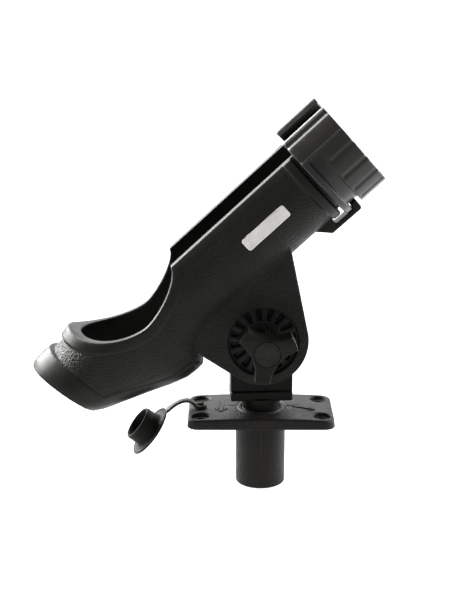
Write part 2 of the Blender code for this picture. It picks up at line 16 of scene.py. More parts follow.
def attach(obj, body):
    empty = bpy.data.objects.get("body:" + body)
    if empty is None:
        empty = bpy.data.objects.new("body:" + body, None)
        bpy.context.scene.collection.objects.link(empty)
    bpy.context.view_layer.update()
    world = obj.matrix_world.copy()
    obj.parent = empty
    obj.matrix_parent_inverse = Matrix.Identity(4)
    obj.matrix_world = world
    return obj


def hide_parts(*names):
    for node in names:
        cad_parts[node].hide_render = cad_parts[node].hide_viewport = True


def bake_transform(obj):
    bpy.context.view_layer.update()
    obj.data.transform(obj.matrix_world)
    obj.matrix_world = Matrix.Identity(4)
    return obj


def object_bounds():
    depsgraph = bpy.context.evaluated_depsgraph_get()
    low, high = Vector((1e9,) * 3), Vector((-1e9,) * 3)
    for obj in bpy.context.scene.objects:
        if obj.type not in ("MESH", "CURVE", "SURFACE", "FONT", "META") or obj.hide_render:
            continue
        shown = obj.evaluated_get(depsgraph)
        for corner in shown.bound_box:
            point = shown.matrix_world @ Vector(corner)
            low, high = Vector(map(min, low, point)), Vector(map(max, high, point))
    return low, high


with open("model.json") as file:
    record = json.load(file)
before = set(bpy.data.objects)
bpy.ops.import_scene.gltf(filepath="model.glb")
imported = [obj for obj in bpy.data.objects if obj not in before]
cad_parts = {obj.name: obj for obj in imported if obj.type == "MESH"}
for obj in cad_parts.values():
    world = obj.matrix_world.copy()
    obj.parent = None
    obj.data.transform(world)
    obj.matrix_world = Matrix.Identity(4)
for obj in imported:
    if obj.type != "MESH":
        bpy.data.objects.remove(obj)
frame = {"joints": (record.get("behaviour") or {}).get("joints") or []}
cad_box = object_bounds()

MM = 0.001
joints = {joint["name"]: joint for joint in frame["joints"]}

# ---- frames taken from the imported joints

PIVOT = Vector(joints["holder_tilt"]["pos_m"])
FORWARD = Vector(joints["ring_turn"]["axis"]).normalized()
NEAR = Vector(joints["holder_tilt"]["axis"]).normalized()
FAR = -NEAR
UP = FORWARD.cross(FAR)
RING_CENTRE = Vector(joints["ring_turn"]["pos_m"]) - PIVOT
AXIS_U = RING_CENTRE.dot(UP) / MM
YAW = math.atan2(FORWARD.y, FORWARD.x)


def basis(across, deep, up, origin):
    """Millimetres in a frame of three directions, to metres in the row frame."""
    turn = Matrix((across, deep, up)).transposed().to_4x4()
    return Matrix.Translation(origin) @ turn @ Matrix.Scale(MM, 4)


HOLDER = basis(FORWARD, FAR, UP, PIVOT)
POST = Matrix.Rotation(YAW, 4, "Z") @ Matrix.Scale(MM, 4)
KNOB = Matrix.Translation(PIVOT) @ POST
ROW = Matrix.Scale(MM, 4)

# ---- driving sizes, in millimetres

TUBE_R = 34.3
RAIL_U = AXIS_U + 20.0
SCOOP_START = -9.0
SCOOP_LOW = -48.5
SCOOP_LOW_U = 65.0
SCOOP_END = -91.0
SCOOP_END_U = 94.0
SCOOP_POWER = 1.55
SCOOP_EASE = 4.5
COLLAR_R = 36.4
COLLAR_REAR = 91.0
COLLAR_FRONT = 97.3
NECK_R = 32.2
NECK_END = 134.6
HOOK_HALF = 6.5
CHEEK_OUT = 21.5
CHEEK_IN = 9.5
LOBE_R = 31.1
GAP_TOP = 27.0
RECESS_R = 24.5
RECESS_FLOOR = 16.5
SLOT_COUNT = 16
SLOT_FLOOR = 12.6
BOLT_HOLE_R = 4.3
HEX_POCKET_R = 7.9
HEX_SEAT = 15.5
BADGE_S = 55.6
BADGE_U = -2.1
BADGE_LENGTH = 36.4
BADGE_HEIGHT = 9.2
BADGE_CORNER = 1.8
BADGE_BACK = 33.4
BADGE_FACE = 34.9
BODY_VOXEL = 0.6
RING_VOXEL = 0.5


# ---- mesh tools

def mesh_object(name, vertices, faces):
    mesh = bpy.data.meshes.new(name)
    mesh.from_pydata([tuple(v) for v in vertices], [], faces)
    obj = bpy.data.objects.new(name, mesh)
    bpy.context.scene.collection.objects.link(obj)
    return obj


def from_bmesh(name, bm):
    bmesh.ops.recalc_face_normals(bm, faces=bm.faces)
    if bm.calc_volume(signed=True) < 0:
        bmesh.ops.reverse_faces(bm, faces=bm.faces)
    mesh = bpy.data.meshes.new(name)
    bm.to_mesh(mesh)
    bm.free()
    obj = bpy.data.objects.new(name, mesh)
    bpy.context.scene.collection.objects.link(obj)
    return obj


def grid_solid(name, rings):
    """Skin equal closed rings, an array of (ring, point, xyz), and close both ends with a fan."""
    rings = np.asarray(rings, float)
    count, around = rings.shape[:2]
    vertices = rings.reshape(-1, 3)
    index = np.arange(count * around).reshape(count, around)
    step = np.roll(index, -1, axis=1)
    quads = np.stack((index[:-1], step[:-1], step[1:], index[1:]), -1).reshape(-1, 4).tolist()
    ends = np.stack((rings[0].mean(0), rings[-1].mean(0)))
    first, last = count * around, count * around + 1
    fans = [(first, int(step[0, k]), int(index[0, k])) for k in range(around)]
    fans += [(last, int(index[-1, k]), int(step[-1, k])) for k in range(around)]
    obj = mesh_object(name, np.concatenate((vertices, ends)), quads + fans)
    bm = bmesh.new()
    bm.from_mesh(obj.data)
    bmesh.ops.recalc_face_normals(bm, faces=bm.faces)
    bm.to_mesh(obj.data)
    bm.free()
    return obj


def tidy_name(obj, name):
    obj.name = name
    obj.data.name = name
    return obj


def applied(obj):
    """Replace an object's mesh with what its modifiers make of it."""
    graph = bpy.context.evaluated_depsgraph_get()
    mesh = bpy.data.meshes.new_from_object(obj.evaluated_get(graph))
    old = obj.data
    obj.modifiers.clear()
    obj.data = mesh
    bpy.data.meshes.remove(old)
    return obj


def combine(obj, operation, *others):
    for other in others:
        modifier = obj.modifiers.new("combine", "BOOLEAN")
        modifier.operation = operation
        modifier.solver = "MANIFOLD"
        modifier.object = other
        applied(obj)
        bpy.data.objects.remove(other, do_unlink=True)
    return obj


def fuse(obj, *others):
    return combine(obj, "UNION", *others)


def cut(obj, *others):
    return combine(obj, "DIFFERENCE", *others)


def arc(centre, radius, start, end, count):
    points = []
    for index in range(count + 1):
        angle = start + (end - start) * index / count
        points.append((centre[0] + radius * math.cos(angle), centre[1] + radius * math.sin(angle)))
    return points


def rounded_rectangle(length, width, corner, count=8):
    points = []
    for turn, (side_x, side_y) in enumerate(((1, 1), (-1, 1), (-1, -1), (1, -1))):
        centre = (side_x * (length / 2 - corner), side_y * (width / 2 - corner))
        points += arc(centre, corner, turn * math.pi / 2, (turn + 1) * math.pi / 2, count)
    return points


TO_AXIS = {
    "X": Matrix(((0, 0, 1), (1, 0, 0), (0, 1, 0))).to_4x4(),
    "Y": Matrix(((1, 0, 0), (0, 0, -1), (0, 1, 0))).to_4x4(),
    "Z": Matrix.Identity(4),
}


def prism(name, outline, low, high, axis, bevel=0.0, rounds=3):
    """Extrude a closed outline between two stations on an axis, its end edges rounded by the bevel."""
    curve = bpy.data.curves.new(name, "CURVE")
    curve.dimensions = "2D"
    curve.fill_mode = "BOTH"
    curve.extrude = (high - low) / 2 - bevel
    curve.bevel_depth = bevel
    curve.bevel_resolution = rounds
    curve.offset = -bevel
    spline = curve.splines.new("POLY")
    spline.points.add(len(outline) - 1)
    for point, (across, up) in zip(spline.points, outline):
        point.co = (across, up, 0.0, 1.0)
    spline.use_cyclic_u = True
    drawn = bpy.data.objects.new(name, curve)
    bpy.context.scene.collection.objects.link(drawn)
    graph = bpy.context.evaluated_depsgraph_get()
    mesh = bpy.data.meshes.new_from_object(drawn.evaluated_get(graph))
    bpy.data.objects.remove(drawn, do_unlink=True)
    bm = bmesh.new()
    bm.from_mesh(mesh)
    bpy.data.meshes.remove(mesh)
    bmesh.ops.remove_doubles(bm, verts=bm.verts, dist=1e-3)
    middle = (low + high) / 2 * (-1 if axis == "Y" else 1)
    bm.transform(TO_AXIS[axis] @ Matrix.Translation((0.0, 0.0, middle)))
    return from_bmesh(name, bm)


def turned(name, profile, axis="Z", segments=96, centre=(0.0, 0.0)):
    """A profile of (radius, height) points spun about an axis, closed if its ends are off the axis."""
    bm = bmesh.new()
    closed = profile[0][0] > 0 and profile[-1][0] > 0
    points = [bm.verts.new((radius, 0.0, height)) for radius, height in profile]
    edges = [bm.edges.new(pair) for pair in zip(points, points[1:])]
    if closed:
        edges.append(bm.edges.new((points[-1], points[0])))
    bmesh.ops.spin(
        bm, geom=points + edges, axis=(0, 0, 1), cent=(0, 0, 0), angle=2 * math.pi, steps=segments
    )
    bmesh.ops.remove_doubles(bm, verts=bm.verts, dist=1e-3)
    stray = [edge for edge in bm.edges if not edge.link_faces]
    bmesh.ops.delete(bm, geom=stray, context="EDGES")
    bm.transform(TO_AXIS[axis] @ Matrix.Translation((centre[0], centre[1], 0.0)))
    return from_bmesh(name, bm)


def cylinder(name, radius, low, high, axis, centre=(0.0, 0.0), segments=96, edge=0.0):
    """A turned cylinder, its end edges rounded by the edge radius."""
    middle_sign = -1 if axis == "Y" else 1
    if middle_sign < 0:
        low, high = -high, -low
    if edge > 0:
        rim = arc((radius - edge, high - edge), edge, math.pi / 2, 0.0, 4)
        rim += arc((radius - edge, low + edge), edge, 0.0, -math.pi / 2, 4)
    else:
        rim = [(radius, high), (radius, low)]
    return turned(name, [(0.0, high)] + rim + [(0.0, low)], axis, segments, centre)


def remeshed(obj, voxel, rounds=4, amount=0.5):
    """Even quads over the whole surface, with every edge slightly rounded as a moulding's edges are."""
    remesh = obj.modifiers.new("remesh", "REMESH")
    remesh.mode = "VOXEL"
    remesh.voxel_size = voxel
    smooth = obj.modifiers.new("smooth", "SMOOTH")
    smooth.factor = amount
    smooth.iterations = rounds
    return applied(obj)


def thinned(obj, ratio):
    decimate = obj.modifiers.new("thin", "DECIMATE")
    decimate.ratio = ratio
    return applied(obj)


def vertex_array(obj):
    flat = np.empty(len(obj.data.vertices) * 3, np.float32)
    obj.data.vertices.foreach_get("co", flat)
    return flat.reshape(-1, 3).astype(float)


def set_attribute(obj, name, values):
    attribute = obj.data.attributes.new(name, "FLOAT", "POINT")
    attribute.data.foreach_set("value", np.asarray(values, np.float32))


def smooth_shaded(obj, angle=None):
    obj.data.shade_smooth()
    if angle is not None:
        obj.data.set_sharp_from_angle(angle=math.radians(angle))
    return obj


def finished(obj, name, matrix, body, node, slot_name, material):
    """Set a piece into the row frame and say what it rides on, replaces and is made of."""
    tidy_name(obj, name)
    obj.data.transform(matrix)
    obj.data.materials.clear()
    obj.data.materials.append(material)
    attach(obj, body)
    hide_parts(node)
    return obj


def ramp(value, low, high):
    """Smooth step from 0 at low to 1 at high."""
    t = np.clip((np.asarray(value, float) - low) / (high - low), 0.0, 1.0)
    return t * t * (3 - 2 * t)


# ---- camera, floor and light

def build_camera():
    data = bpy.data.cameras.new("camera")
    data.lens = 79.8
    data.sensor_width = 36.0
    data.clip_end = 60.0
    camera = bpy.data.objects.new("camera", data)
    camera.location = (-25.1 * MM, -883.6 * MM, 338.2 * MM)
    camera.rotation_euler = (math.radians(90.0 - 15.95), 0.0, 0.0)
    bpy.context.scene.collection.objects.link(camera)
    bpy.context.scene.camera = camera


def area_light(name, place, target, size, power):
    data = bpy.data.lights.new(name, "AREA")
    data.shape = "RECTANGLE"
    data.size, data.size_y = size
    data.energy = power
    lamp = bpy.data.objects.new(name, data)
    lamp.location = place
    lamp.rotation_euler = (Vector(target) - Vector(place)).to_track_quat("-Z", "Y").to_euler()
    bpy.context.scene.collection.objects.link(lamp)


def build_studio():
    floor_z = cad_box[0][2] - 0.2 * MM
    bpy.ops.mesh.primitive_plane_add(size=24.0, location=(0.0, 0.0, floor_z))
    floor = bpy.context.object
    floor.name = "floor"
    material = bpy.data.materials.new("floor")
    material.use_nodes = True
    shader = material.node_tree.nodes["Principled BSDF"]
    shader.inputs["Base Color"].default_value = (0.15, 0.15, 0.15, 1.0)
    shader.inputs["Roughness"].default_value = 0.8
    shader.inputs["Specular IOR Level"].default_value = 0.0
    shader.inputs["Emission Color"].default_value = (1.0, 1.0, 1.0, 1.0)
    place = material.node_tree.nodes.new("ShaderNodeTexCoord")
    split = material.node_tree.nodes.new("ShaderNodeSeparateXYZ")
    link(material.node_tree, place.outputs["Object"], split.inputs[0])
    glow = mapped(material.node_tree, split.outputs["Y"], -0.6, -0.17, 0.42, 1.12)
    link(material.node_tree, glow, shader.inputs["Emission Strength"])
    floor.data.materials.append(material)
    world = bpy.data.worlds.new("studio")
    world.use_nodes = True
    world.node_tree.nodes["Background"].inputs["Color"].default_value = (1.0, 1.0, 1.0, 1.0)
    world.node_tree.nodes["Background"].inputs["Strength"].default_value = 0.55
    bpy.context.scene.world = world
    target = (0.0, 0.0, 0.1)
    area_light("left", (-1.1, 0.62, 0.62), target, (1.2, 0.8), 98.0)
    area_light("back", (0.0, 1.6, 0.95), (0.0, 0.0, 0.95), (2.6, 1.5), 30.0)
    area_light("right", (1.2, 0.45, 0.34), target, (1.0, 0.9), 36.0)
    area_light("top", (-0.6, 0.7, 1.3), target, (1.2, 0.8), 40.0)
    bpy.context.scene.view_settings.view_transform = "Standard"


# ---- materials

def link(tree, source, target):
    tree.links.new(source, target)


def mathematics(tree, operation, first, second):
    made = tree.nodes.new("ShaderNodeMath")
    made.operation = operation
    for socket, value in zip(made.inputs, (first, second)):
        if isinstance(value, (int, float)):
            socket.default_value = value
        else:
            link(tree, value, socket)
    return made.outputs[0]


def mapped(tree, value, from_low, from_high, to_low, to_high):
    made = tree.nodes.new("ShaderNodeMapRange")
    made.inputs["From Min"].default_value = from_low
    made.inputs["From Max"].default_value = from_high
    made.inputs["To Min"].default_value = to_low
    made.inputs["To Max"].default_value = to_high
    link(tree, value, made.inputs["Value"])
    return made.outputs["Result"]


def noise(tree, scale, detail=3.0, roughness=0.5):
    made = tree.nodes.new("ShaderNodeTexNoise")
    made.inputs["Scale"].default_value = scale
    made.inputs["Detail"].default_value = detail
    made.inputs["Roughness"].default_value = roughness
    link(tree, tree.nodes["coordinates"].outputs["Object"], made.inputs["Vector"])
    return made.outputs["Fac"]


def cells(tree, scale):
    """Rounded pebbles, slightly stirred, as on leather-grained plastic."""
    stir = tree.nodes.new("ShaderNodeTexNoise")
    stir.inputs["Scale"].default_value = scale * 0.9
    link(tree, tree.nodes["coordinates"].outputs["Object"], stir.inputs["Vector"])
    offset = tree.nodes.new("ShaderNodeVectorMath")
    offset.operation = "MULTIPLY_ADD"
    offset.inputs[1].default_value = (0.35 / scale,) * 3
    link(tree, stir.outputs["Color"], offset.inputs[0])
    link(tree, tree.nodes["coordinates"].outputs["Object"], offset.inputs[2])
    made = tree.nodes.new("ShaderNodeTexVoronoi")
    made.feature = "SMOOTH_F1"
    made.inputs["Scale"].default_value = scale
    made.inputs["Smoothness"].default_value = 0.35
    link(tree, offset.outputs[0], made.inputs["Vector"])
    return made.outputs["Distance"]


def colour_mix(tree, factor, first, second):
    made = tree.nodes.new("ShaderNodeMix")
    made.data_type = "RGBA"
    link(tree, factor, made.inputs["Factor"])
    for socket, value in ((made.inputs["A"], first), (made.inputs["B"], second)):
        if isinstance(value, tuple):
            socket.default_value = (*value, 1.0)
        else:
            link(tree, value, socket)
    return made.outputs["Result"]


def start_material(name, metallic, specular):
    material = bpy.data.materials.new(name)
    material.use_nodes = True
    tree = material.node_tree
    coordinates = tree.nodes.new("ShaderNodeTexCoord")
    coordinates.name = "coordinates"
    shader = tree.nodes["Principled BSDF"]
    shader.inputs["Metallic"].default_value = metallic
    shader.inputs["Specular IOR Level"].default_value = specular
    return material, tree, shader


def painted_edge_highlight(tree, low=0.52, high=0.60):
    """Lighter where an edge stands proud: a painted highlight along the edges, found from how pointed the
    surface is.
    """
    geometry = tree.nodes.new("ShaderNodeNewGeometry")
    return mapped(tree, geometry.outputs["Pointiness"], low, high, 0.0, 1.0)


def moulded(name, colour, roughness, grain=0.0, grain_scale=620.0, specular=0.35, masked=False, painted_highlight_strength=0.5):
    """Injection-moulded plastic or rubber: mottled colour, a painted highlight on proud edges, fine satin
    texture, pebbled where grained.
    """
    material, tree, shader = start_material(name, 0.0, specular)
    lighter = tuple(min(1.0, channel * 1.5 + 0.002) for channel in colour)
    mottle = mapped(tree, noise(tree, 55.0, 5.0, 0.6), 0.35, 0.7, 0.0, 1.0)
    base = colour_mix(tree, mathematics(tree, "MULTIPLY", mottle, 0.55), colour, lighter)
    # Proud edges are lightened in noisy patches: a painted edge highlight.
    painted_highlight_colour = tuple(min(1.0, channel * 3.0 + 0.02) for channel in colour)
    painted_highlight_patches = mathematics(tree, "MULTIPLY", painted_edge_highlight(tree), noise(tree, 240.0, 4.0, 0.6))
    base = colour_mix(tree, mathematics(tree, "MULTIPLY", painted_highlight_patches, painted_highlight_strength), base, painted_highlight_colour)
    link(tree, base, shader.inputs["Base Color"])
    fine = noise(tree, 2600.0, 2.0, 0.5)
    soft = noise(tree, 130.0, 4.0, 0.55)
    height = mathematics(tree, "MULTIPLY", fine, 0.10)
    height = mathematics(tree, "ADD", height, mathematics(tree, "MULTIPLY", soft, 0.05))
    rough = mapped(tree, soft, 0.3, 0.7, roughness - 0.05, roughness + 0.07)
    if grain > 0:
        pebbles = cells(tree, grain_scale)
        if masked:
            mask = tree.nodes.new("ShaderNodeAttribute")
            mask.attribute_name = "grained"
            pebbles = mathematics(tree, "MULTIPLY", pebbles, mask.outputs["Fac"])
            coarser = mathematics(tree, "MULTIPLY", mask.outputs["Fac"], 0.06)
            rough = mathematics(tree, "ADD", rough, coarser)
        height = mathematics(tree, "ADD", height, mathematics(tree, "MULTIPLY", pebbles, -grain))
    link(tree, rough, shader.inputs["Roughness"])
    bump = tree.nodes.new("ShaderNodeBump")
    bump.inputs["Strength"].default_value = 0.9
    bump.inputs["Distance"].default_value = 0.45 * MM
    link(tree, height, bump.inputs["Height"])
    link(tree, bump.outputs["Normal"], shader.inputs["Normal"])
    return material


def metal(name, colour, roughness, brushed=(1.0, 1.0, 1.0), metallic=1.0):
    """Worked metal: fine scratches drawn out along one direction and faint stains."""
    material, tree, shader = start_material(name, metallic, 0.5)
    stretch = tree.nodes.new("ShaderNodeMapping")
    stretch.inputs["Scale"].default_value = brushed
    link(tree, tree.nodes["coordinates"].outputs["Object"], stretch.inputs["Vector"])
    scratches = tree.nodes.new("ShaderNodeTexNoise")
    scratches.inputs["Scale"].default_value = 900.0
    scratches.inputs["Detail"].default_value = 5.0
    link(tree, stretch.outputs["Vector"], scratches.inputs["Vector"])
    stain = noise(tree, 90.0, 4.0, 0.6)
    darker = tuple(channel * 0.72 for channel in colour)
    stained = colour_mix(tree, mapped(tree, stain, 0.35, 0.7, 0.0, 1.0), colour, darker)
    link(tree, stained, shader.inputs["Base Color"])
    rough = mapped(tree, scratches.outputs["Fac"], 0.3, 0.7, roughness - 0.08, roughness + 0.12)
    link(tree, rough, shader.inputs["Roughness"])
    bump = tree.nodes.new("ShaderNodeBump")
    bump.inputs["Strength"].default_value = 0.25
    bump.inputs["Distance"].default_value = 0.08 * MM
    link(tree, scratches.outputs["Fac"], bump.inputs["Height"])
    link(tree, bump.outputs["Normal"], shader.inputs["Normal"])
    return material


# ---- holder body

# Stations of the cradle's skin from the open rear end to the plain tube:
# (along the tube, half width, height over the tube's axis, depth under it)
SKIN = (
    (-124.2, 30.3, 25.4, 22.7),
    (-122.6, 31.5, 27.2, 25.4),
    (-116.0, 31.9, 27.6, 28.8),
    (-107.0, 31.7, 27.2, 32.2),
    (-98.0, 31.9, 28.0, 35.8),
    (-88.0, 32.3, 30.4, 39.4),
    (-72.0, 33.2, 32.4, 45.5),
    (-57.0, 34.2, 34.0, 50.4),
    (-50.0, 34.3, 34.3, 51.0),
    (-43.0, 34.3, 34.3, 50.6),
    (-36.0, 34.3, 34.3, 43.0),
    (-28.0, 34.3, 34.3, 36.6),
    (-18.0, 34.3, 34.3, 34.3),
    (0.0, 34.3, 34.3, 34.3),
    (93.0, 34.3, 34.3, 34.3),
)
HOLLOW = (
    (-140.0, 27.4, 24.6, 18.4),
    (-124.0, 27.4, 24.4, 19.6),
    (-107.0, 27.6, 22.8, 27.6),
    (-88.0, 27.8, 22.8, 35.0),
    (-70.0, 29.0, 26.0, 41.4),
    (-58.0, 29.5, 29.5, 45.4),
    (-51.0, 29.5, 29.5, 46.2),
    (-44.0, 29.5, 29.5, 40.6),
    (-36.0, 29.5, 29.5, 31.6),
    (-26.0, 29.5, 29.5, 29.5),
    (140.0, 29.5, 29.5, 29.5),
)
REAR_LEAN = 0.2
REAR_BOW = 3.0
REAR_FADES_FROM = -124.0
REAR_FADES_TO = -66.0
SKIRT_S = -107.6
BAND_WIDTH = 7.7
RAIL_BAND_WIDTH = 5.4
STEP = 0.5
LIP_STEP = 2.6
LIP_WIDER = 2.2
LIP_RANGE = (-80.0, -92.0)
BAND_NARROWS = (-14.0, 6.0)
# Angle below the tube's axis at which the smooth keel strip begins, by station
KEEL = ((-110.0, -29.0), (-101.0, -32.0), (-89.0, -40.0), (-77.0, -47.0), (-61.0, -51.5), (-46.0, -56.0))


def eased(table, column, at):
    """Read a station table in straight runs, its corners rounded over a few millimetres."""
    x = [row[0] for row in table]
    y = [row[column] for row in table]
    at = np.asarray(at, float)
    reach = 1.2 + 2.2 * ramp(-at, 60.0, 75.0)
    total = 0.0
    for share in np.linspace(-1.0, 1.0, 9):
        total = total + np.interp(at + share * reach, x, y)
    return total / 9


def band_width(s):
    """Width of the smooth band round the opening, narrower along the rails."""
    return BAND_WIDTH + (RAIL_BAND_WIDTH - BAND_WIDTH) * ramp(s, *BAND_NARROWS)


def scoop_line(count=40):
    """Side view of the opening's edge: the rail over the tube, then the scoop behind it."""
    points = [(NECK_END + 10, RAIL_U), (60.0, RAIL_U), (20.0, RAIL_U), (SCOOP_START, RAIL_U)]
    for start, start_u in ((SCOOP_START, RAIL_U), (SCOOP_END, SCOOP_END_U)):
        side = []
        for index in range(1, count + 1):
            angle = math.pi / 2 * index / count
            s = SCOOP_LOW + (start - SCOOP_LOW) * math.cos(angle) ** (2 / SCOOP_POWER)
            side.append((s, start_u + (SCOOP_LOW_U - start_u) * math.sin(angle) ** (2 / SCOOP_POWER)))
        points += side if start > SCOOP_LOW else side[-2::-1]
    points.append((SCOOP_END, SCOOP_END_U))
    line = np.array(points)
    run = np.concatenate(([0.0], np.cumsum(np.hypot(*np.diff(line, axis=0).T))))
    even = np.arange(0.0, run[-1], 1.2)
    total = 0.0
    for reach in np.linspace(-SCOOP_EASE, SCOOP_EASE, 13):
        shares = np.clip(even + reach, 0.0, run[-1])
        total = total + np.stack([np.interp(shares, run, line[:, column]) for column in (0, 1)], -1)
    drawn = np.stack([np.interp(even, run, line[:, column]) for column in (0, 1)], -1)
    low = ramp(-drawn[:, :1], 14.0, 24.0)
    smooth = (drawn * (1 - low) + total / 13 * low).tolist()
    return [points[0]] + [tuple(point) for point in smooth[1:]] + [points[-1]]


def distance_to_line(s, u, line):
    """Shortest distance in side view from each point to the line."""
    best = np.full(s.shape, 1e9)
    for (s0, u0), (s1, u1) in zip(line, line[1:]):
        ds, du = s1 - s0, u1 - u0
        length = ds * ds + du * du
        if length < 1e-9:
            continue
        t = np.clip(((s - s0) * ds + (u - u0) * du) / length, 0.0, 1.0)
        best = np.minimum(best, np.hypot(s - s0 - t * ds, u - u0 - t * du))
    return best


def skin_rings(table, stations, around, raised=None):
    """Closed rings of half ellipses, leaned and bowed toward the rear; raised adds an offset outward."""
    angle = np.linspace(0.0, 2 * math.pi, around, endpoint=False)[None, :]
    at = np.asarray(stations, float)[:, None]
    half, top, depth = (eased(table, column, at) for column in (1, 2, 3))
    fade = np.clip((REAR_FADES_TO - at) / (REAR_FADES_TO - REAR_FADES_FROM), 0.0, 1.0)
    across = half * np.cos(angle)
    up = np.where(np.sin(angle) >= 0, top, depth) * np.sin(angle)
    if raised is not None:
        more = raised(at, angle, up)
        across = across + more * np.cos(angle)
        up = up + more * np.sin(angle)
    along = at - REAR_LEAN * fade * up + REAR_BOW * fade * fade * np.cos(angle) ** 2
    return np.stack((along, across, AXIS_U + up), -1)


def raised_bands(at, angle, up):
    """Height of the smooth rim band, skirt and keel strip over the grained skin, with a groove by each."""
    line = scoop_line()
    s = at - REAR_LEAN * np.clip((REAR_FADES_TO - at) / (REAR_FADES_TO - REAR_FADES_FROM), 0.0, 1.0) * up
    from_rim = distance_to_line(s, AXIS_U + up, line)
    crown = np.clip(np.sin(angle), 0.0, 1.0) ** 4
    lip = crown * ramp(s, *LIP_RANGE)
    width = band_width(s) + LIP_WIDER * lip
    edges = [width - from_rim]
    steps = [STEP + LIP_STEP * lip]
    edges.append(SKIRT_S - at + 0.0 * angle)
    steps.append(STEP + LIP_STEP * crown)
    degrees = np.degrees(np.where(angle > math.pi, angle - 2 * math.pi, angle))
    below = np.where(degrees < -90.0, -180.0 - degrees, degrees)
    keel = np.interp(at, [row[0] for row in KEEL], [row[1] for row in KEEL])
    edges.append((keel - below) * 0.6 * ramp(at, -40.0, -46.0) - 3.0 * ramp(at, -46.0, -40.0))
    steps.append(STEP * 1.1 + 0.0 * s)
    height = np.zeros(s.shape)
    for edge, step in zip(edges, steps):
        height = np.maximum(height, step * ramp(edge, -0.35, 0.35))
    nearest = np.maximum.reduce([edge + 0.0 * s for edge in edges])
    groove = np.exp(-((nearest + 0.75) / 0.45) ** 2)
    return height - 0.32 * groove


def knuckle_outline():
    lobe = arc((0.0, 0.0), LOBE_R, math.radians(195.0), math.radians(328.6), 60)
    return [(-39.0, 44.0), (-37.2, 20.5)] + lobe + [(56.6, 34.6), (60.0, 44.0)]


def hook_outline():
    under = AXIS_U - TUBE_R
    return [
        (74.5, under + 2.5),
        (76.5, under - 0.4),
        (84.0, 20.8),
        (109.2, 20.4),
        (110.4, 21.6),
        (110.4, 28.3),
        (105.6, 28.3),
        (105.6, 24.2),
        (89.6, 24.2),
        (89.6, under + 2.5),
    ]


def detent_slots():
    """Wedge slots between the ribs that ring the knob's recess."""
    slots = []
    for index in range(SLOT_COUNT):
        turn = 2 * math.pi * (index + 0.5) / SLOT_COUNT
        corners = []
        for radius, side in ((14.0, -1.3), (22.4, -2.45), (22.4, 2.45), (14.0, 1.3)):
            corner = Matrix.Rotation(turn, 2) @ Vector((radius, side))
            corners.append((corner.x, corner.y))
        slots.append(prism("slot", corners, -RECESS_FLOOR - 1.0, -SLOT_FLOOR, "Y"))
    return slots


def collar():
    """Flange behind the ring: one broad smooth band with rounded edges."""
    edge = 0.9
    profile = [(20.0, COLLAR_FRONT)]
    profile += arc((COLLAR_R - edge, COLLAR_FRONT - edge), edge, math.pi / 2, 0.0, 4)
    profile += arc((COLLAR_R - edge, COLLAR_REAR + edge), edge, 0.0, -math.pi / 2, 4)
    profile.append((20.0, COLLAR_REAR))
    return turned("collar", profile, "X", 160, (0.0, AXIS_U))


def rounding_weights(points):
    """How far to round the crease between cheeks and tube and the rim of the opening, most at the lip."""
    s, y, u = points[:, 0], np.abs(points[:, 1]), points[:, 2]
    beside = ramp(y, 19.4, 21.2) * (1 - ramp(y, 23.6, 27.0))
    height = ramp(u, 27.5, 31.0) * (1 - ramp(u, 38.5, 42.0))
    crease = beside * height * ramp(s, -36.0, -30.0) * (1 - ramp(s, 48.0, 56.0))
    lip = ramp(-s, 84.0, 91.0)
    rim = 1 - ramp(distance_to_line(s, u, scoop_line()), 1.0, 2.6 + 2.6 * lip)
    share = 0.1 + 0.15 * ramp(-s, 8.0, 20.0) + 0.75 * lip
    return np.maximum(0.6 * crease, np.where(s < COLLAR_REAR - 2, rim * share, 0.0))


def soften(obj, weights, rounds):
    group = obj.vertex_groups.new(name="soften")
    for level in np.unique(np.round(weights, 1)):
        if level > 0:
            chosen = np.nonzero(np.round(weights, 1) == level)[0].tolist()
            group.add(chosen, float(level), "REPLACE")
    smooth = obj.modifiers.new("soften", "SMOOTH")
    smooth.factor = 0.5
    smooth.iterations = rounds
    smooth.vertex_group = "soften"
    applied(obj)
    obj.vertex_groups.clear()
    return obj


